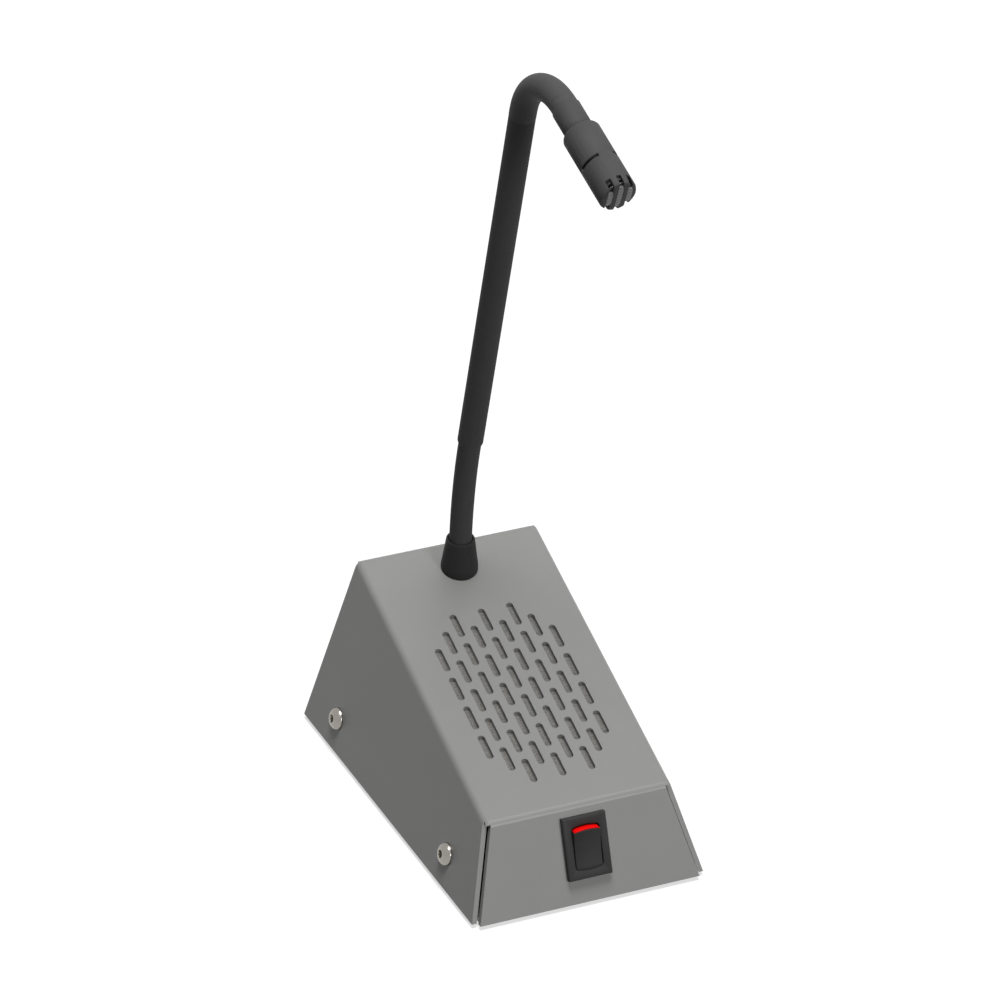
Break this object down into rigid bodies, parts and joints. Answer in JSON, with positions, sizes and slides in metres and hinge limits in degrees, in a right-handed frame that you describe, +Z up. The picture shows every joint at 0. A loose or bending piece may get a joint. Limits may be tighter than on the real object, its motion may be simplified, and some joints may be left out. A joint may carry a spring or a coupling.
{
  "type": "teller window intercom",
  "caption": "Sloping sheet-metal desk intercom with a slotted loudspeaker top, a rocker switch in front and a small microphone on a bending gooseneck.",
  "frame": {"origin": "middle of the footprint, on the surface that the feet stand on", "axes": "+Z up, the front flap with the switch faces -Y, +X to the right seen from the front"},
  "size_m": [0.0964, 0.1328, 0.2624],
  "materials": {
    "housing_paint": "fine matt powder coat",
    "tray_steel": "matt black",
    "screw_steel": "bright plated",
    "zinc_steel": "zinc plated",
    "foot_rubber": "matt",
    "switch_plastic": "fine grain",
    "rocker_plastic": "fine grain",
    "marker_red": "satin",
    "terminal_brass": "plain",
    "boot_plastic": "satin",
    "neck_steel": "black",
    "flex_lower": "matt black sheath",
    "flex_upper": "satin black sheath",
    "stem_black": "matt black",
    "head_black": "satin black",
    "gauze_steel": "woven gauze",
    "capsule_aluminium": "plain",
    "cloth": "woven",
    "basket_steel": "black",
    "cone_paper": "pressed paper",
    "magnet_ferrite": "ground ferrite",
    "board_laminate": "solder resist",
    "chip_epoxy": "moulded",
    "capacitor_sleeve": "shrink sleeve",
    "terminal_plastic": "moulded",
    "trimmer_plastic": "moulded"
  },
  "bodies": {
    "base": {"cover": "housing_paint", "base_tray": "tray_steel", "side_screws": "screw_steel", "clinch_nuts": "zinc_steel", "rubber_feet": "foot_rubber", "cable_grommet": "foot_rubber", "switch_housing": "switch_plastic", "switch_terminals": "terminal_brass", "neck_boot": "boot_plastic", "neck_spigot": "neck_steel", "taper_washer": "zinc_steel", "neck_lock_nut": "zinc_steel", "acoustic_cloth": "cloth", "speaker_gasket": "foot_rubber", "speaker_basket": "basket_steel", "speaker_surround": "foot_rubber", "speaker_cone": "cone_paper", "dust_cap": "cone_paper", "voice_coil": "terminal_brass", "pole_plate": "zinc_steel", "speaker_magnet": "magnet_ferrite", "speaker_yoke": "zinc_steel", "weld_studs": "zinc_steel", "clamp_washers": "zinc_steel", "stud_nuts": "zinc_steel", "circuit_board": "board_laminate", "board_standoffs": "terminal_brass", "board_screws": "zinc_steel", "amplifier_chip": "chip_epoxy", "capacitors": "capacitor_sleeve", "terminal_blocks": "terminal_plastic", "volume_trimmers": "trimmer_plastic"},
    "rocker": {"switch_rocker": "rocker_plastic", "rocker_marker": "marker_red"},
    "lower_link_1": {"lower_link_1": "flex_lower"},
    "lower_link_2": {"lower_link_2": "flex_lower"},
    "lower_link_3": {"lower_link_3": "flex_lower"},
    "lower_link_4": {"lower_link_4": "flex_lower"},
    "stem": {"lower_ferrule": "neck_steel", "stem_tube": "stem_black", "upper_ferrule": "neck_steel"},
    "upper_link_1": {"upper_link_1": "flex_upper"},
    "upper_link_2": {"upper_link_2": "flex_upper"},
    "upper_link_3": {"upper_link_3": "flex_upper"},
    "upper_link_4": {"upper_link_4": "flex_upper"},
    "upper_link_5": {"upper_link_5": "flex_upper"},
    "upper_link_6": {"upper_link_6": "flex_upper"},
    "head": {"head_collar": "head_black", "microphone_housing": "head_black", "microphone_cap": "head_black", "wind_gauze": "gauze_steel", "microphone_capsule": "capsule_aluminium", "capsule_sleeve": "foot_rubber"}
  },
  "joints": [
    {"name": "rocker_swing", "type": "hinge", "parent": "base", "child": "rocker", "pos_m": [0.0005, -0.06046, 0.01875], "axis": [-1, 0, 0], "range_deg": [0, 18]},
    {"name": "lower_bend", "type": "hinge", "parent": "base", "child": "lower_link_1", "pos_m": [0.00024, 0.04617, 0.07244], "axis": [0.9955, 0.0948, 0], "range_deg": [-12, 12]},
    {"name": "lower_sway", "type": "hinge", "parent": "lower_link_1", "child": "lower_link_2", "pos_m": [0.00033, 0.04523, 0.08039], "axis": [-0.0937, 0.9836, 0.1542], "range_deg": [-12, 12]},
    {"name": "lower_bend_2", "type": "hinge", "parent": "lower_link_2", "child": "lower_link_3", "pos_m": [0.00044, 0.044, 0.08829], "axis": [0.9955, 0.0948, 0], "range_deg": [-12, 12]},
    {"name": "lower_sway_2", "type": "hinge", "parent": "lower_link_3", "child": "lower_link_4", "pos_m": [0.00059, 0.04249, 0.09615], "axis": [-0.0924, 0.9699, 0.2255], "range_deg": [-12, 12]},
    {"name": "lower_bend_3", "type": "hinge", "parent": "lower_link_4", "child": "stem", "pos_m": [0.00076, 0.0407, 0.10394], "axis": [0.9955, 0.0948, 0], "range_deg": [-12, 12]},
    {"name": "upper_bend", "type": "hinge", "parent": "stem", "child": "upper_link_1", "pos_m": [0.00438, 0.00265, 0.24547], "axis": [0.9955, 0.0948, 0], "range_deg": [-12, 6]},
    {"name": "upper_sway", "type": "hinge", "parent": "upper_link_1", "child": "upper_link_2", "pos_m": [0.00461, 0.0003, 0.24976], "axis": [-0.0697, 0.7322, 0.6775], "range_deg": [-10, 10]},
    {"name": "upper_bend_2", "type": "hinge", "parent": "upper_link_2", "child": "upper_link_3", "pos_m": [0.00492, -0.00301, 0.25337], "axis": [0.9955, 0.0948, 0], "range_deg": [-12, 6]},
    {"name": "upper_bend_3", "type": "hinge", "parent": "upper_link_3", "child": "upper_link_4", "pos_m": [0.00531, -0.00707, 0.25608], "axis": [0.9955, 0.0948, 0], "range_deg": [-12, 6]},
    {"name": "upper_bend_4", "type": "hinge", "parent": "upper_link_4", "child": "upper_link_5", "pos_m": [0.00575, -0.01166, 0.25774], "axis": [0.9955, 0.0948, 0], "range_deg": [-12, 6]},
    {"name": "upper_sway_2", "type": "hinge", "parent": "upper_link_5", "child": "upper_link_6", "pos_m": [0.00621, -0.01651, 0.25825], "axis": [0.0128, -0.1339, 0.9909], "range_deg": [-10, 10]},
    {"name": "upper_bend_5", "type": "hinge", "parent": "upper_link_6", "child": "head", "pos_m": [0.00667, -0.02135, 0.25759], "axis": [0.9955, 0.0948, 0], "range_deg": [-12, 6]}
  ],
  "couplings": [
    {"joint": "lower_bend_2", "follows": "lower_bend", "ratio": 1},
    {"joint": "lower_sway_2", "follows": "lower_sway", "ratio": 1},
    {"joint": "lower_bend_3", "follows": "lower_bend", "ratio": 1},
    {"joint": "upper_bend_2", "follows": "upper_bend", "ratio": 1},
    {"joint": "upper_bend_3", "follows": "upper_bend", "ratio": 1},
    {"joint": "upper_bend_4", "follows": "upper_bend", "ratio": 1},
    {"joint": "upper_sway_2", "follows": "upper_sway", "ratio": 1},
    {"joint": "upper_bend_5", "follows": "upper_bend", "ratio": 1}
  ]
}
